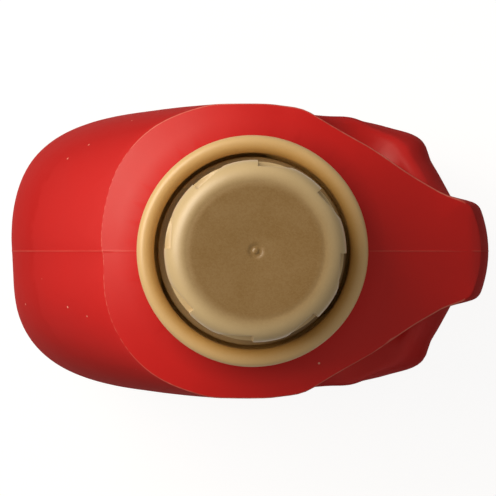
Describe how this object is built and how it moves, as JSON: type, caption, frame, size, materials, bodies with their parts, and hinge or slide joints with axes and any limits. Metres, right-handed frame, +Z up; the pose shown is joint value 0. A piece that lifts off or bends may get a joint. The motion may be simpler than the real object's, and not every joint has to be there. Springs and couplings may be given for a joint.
{
  "type": "detergent bottle",
  "caption": "Red laundry detergent bottle with a moulded through handle, a gold collar that holds a drain-back pouring spout, and a gold screw cap that is also the measuring cup.",
  "frame": {"origin": "on the floor under the axis of the neck, which is the middle of the part's length and depth", "axes": "+Z up along the cap's axis, +X towards the handle, so -X is the pouring front, +Y to one broad side"},
  "size_m": [0.1542, 0.0932, 0.227],
  "materials": {
    "red_hdpe": "satin, blow-moulded",
    "gold_pp": "satin with fine metallic flake, injection-moulded",
    "white_foam": "closed-cell polyethylene foam"
  },
  "bodies": {
    "bottle": {"bottle": "red_hdpe", "collar": "gold_pp", "pour_spout": "gold_pp", "neck_seal": "white_foam"},
    "cap_seal": {"cap_seal": "white_foam"},
    "cap": {"cap": "gold_pp"}
  },
  "joints": [
    {"name": "cap_lift", "type": "slide", "parent": "bottle", "child": "cap_seal", "axis": [0, 0, 1], "range_m": [0, 0.0405]},
    {"name": "cap_turn", "type": "hinge", "parent": "cap_seal", "child": "cap", "pos_m": [0, 0, 0.2], "axis": [0, 0, 1], "range_deg": [0, 1080]}
  ],
  "couplings": [
    {"joint": "cap_lift", "follows": "cap_turn", "m_per_rad": 0.0021486}
  ]
}
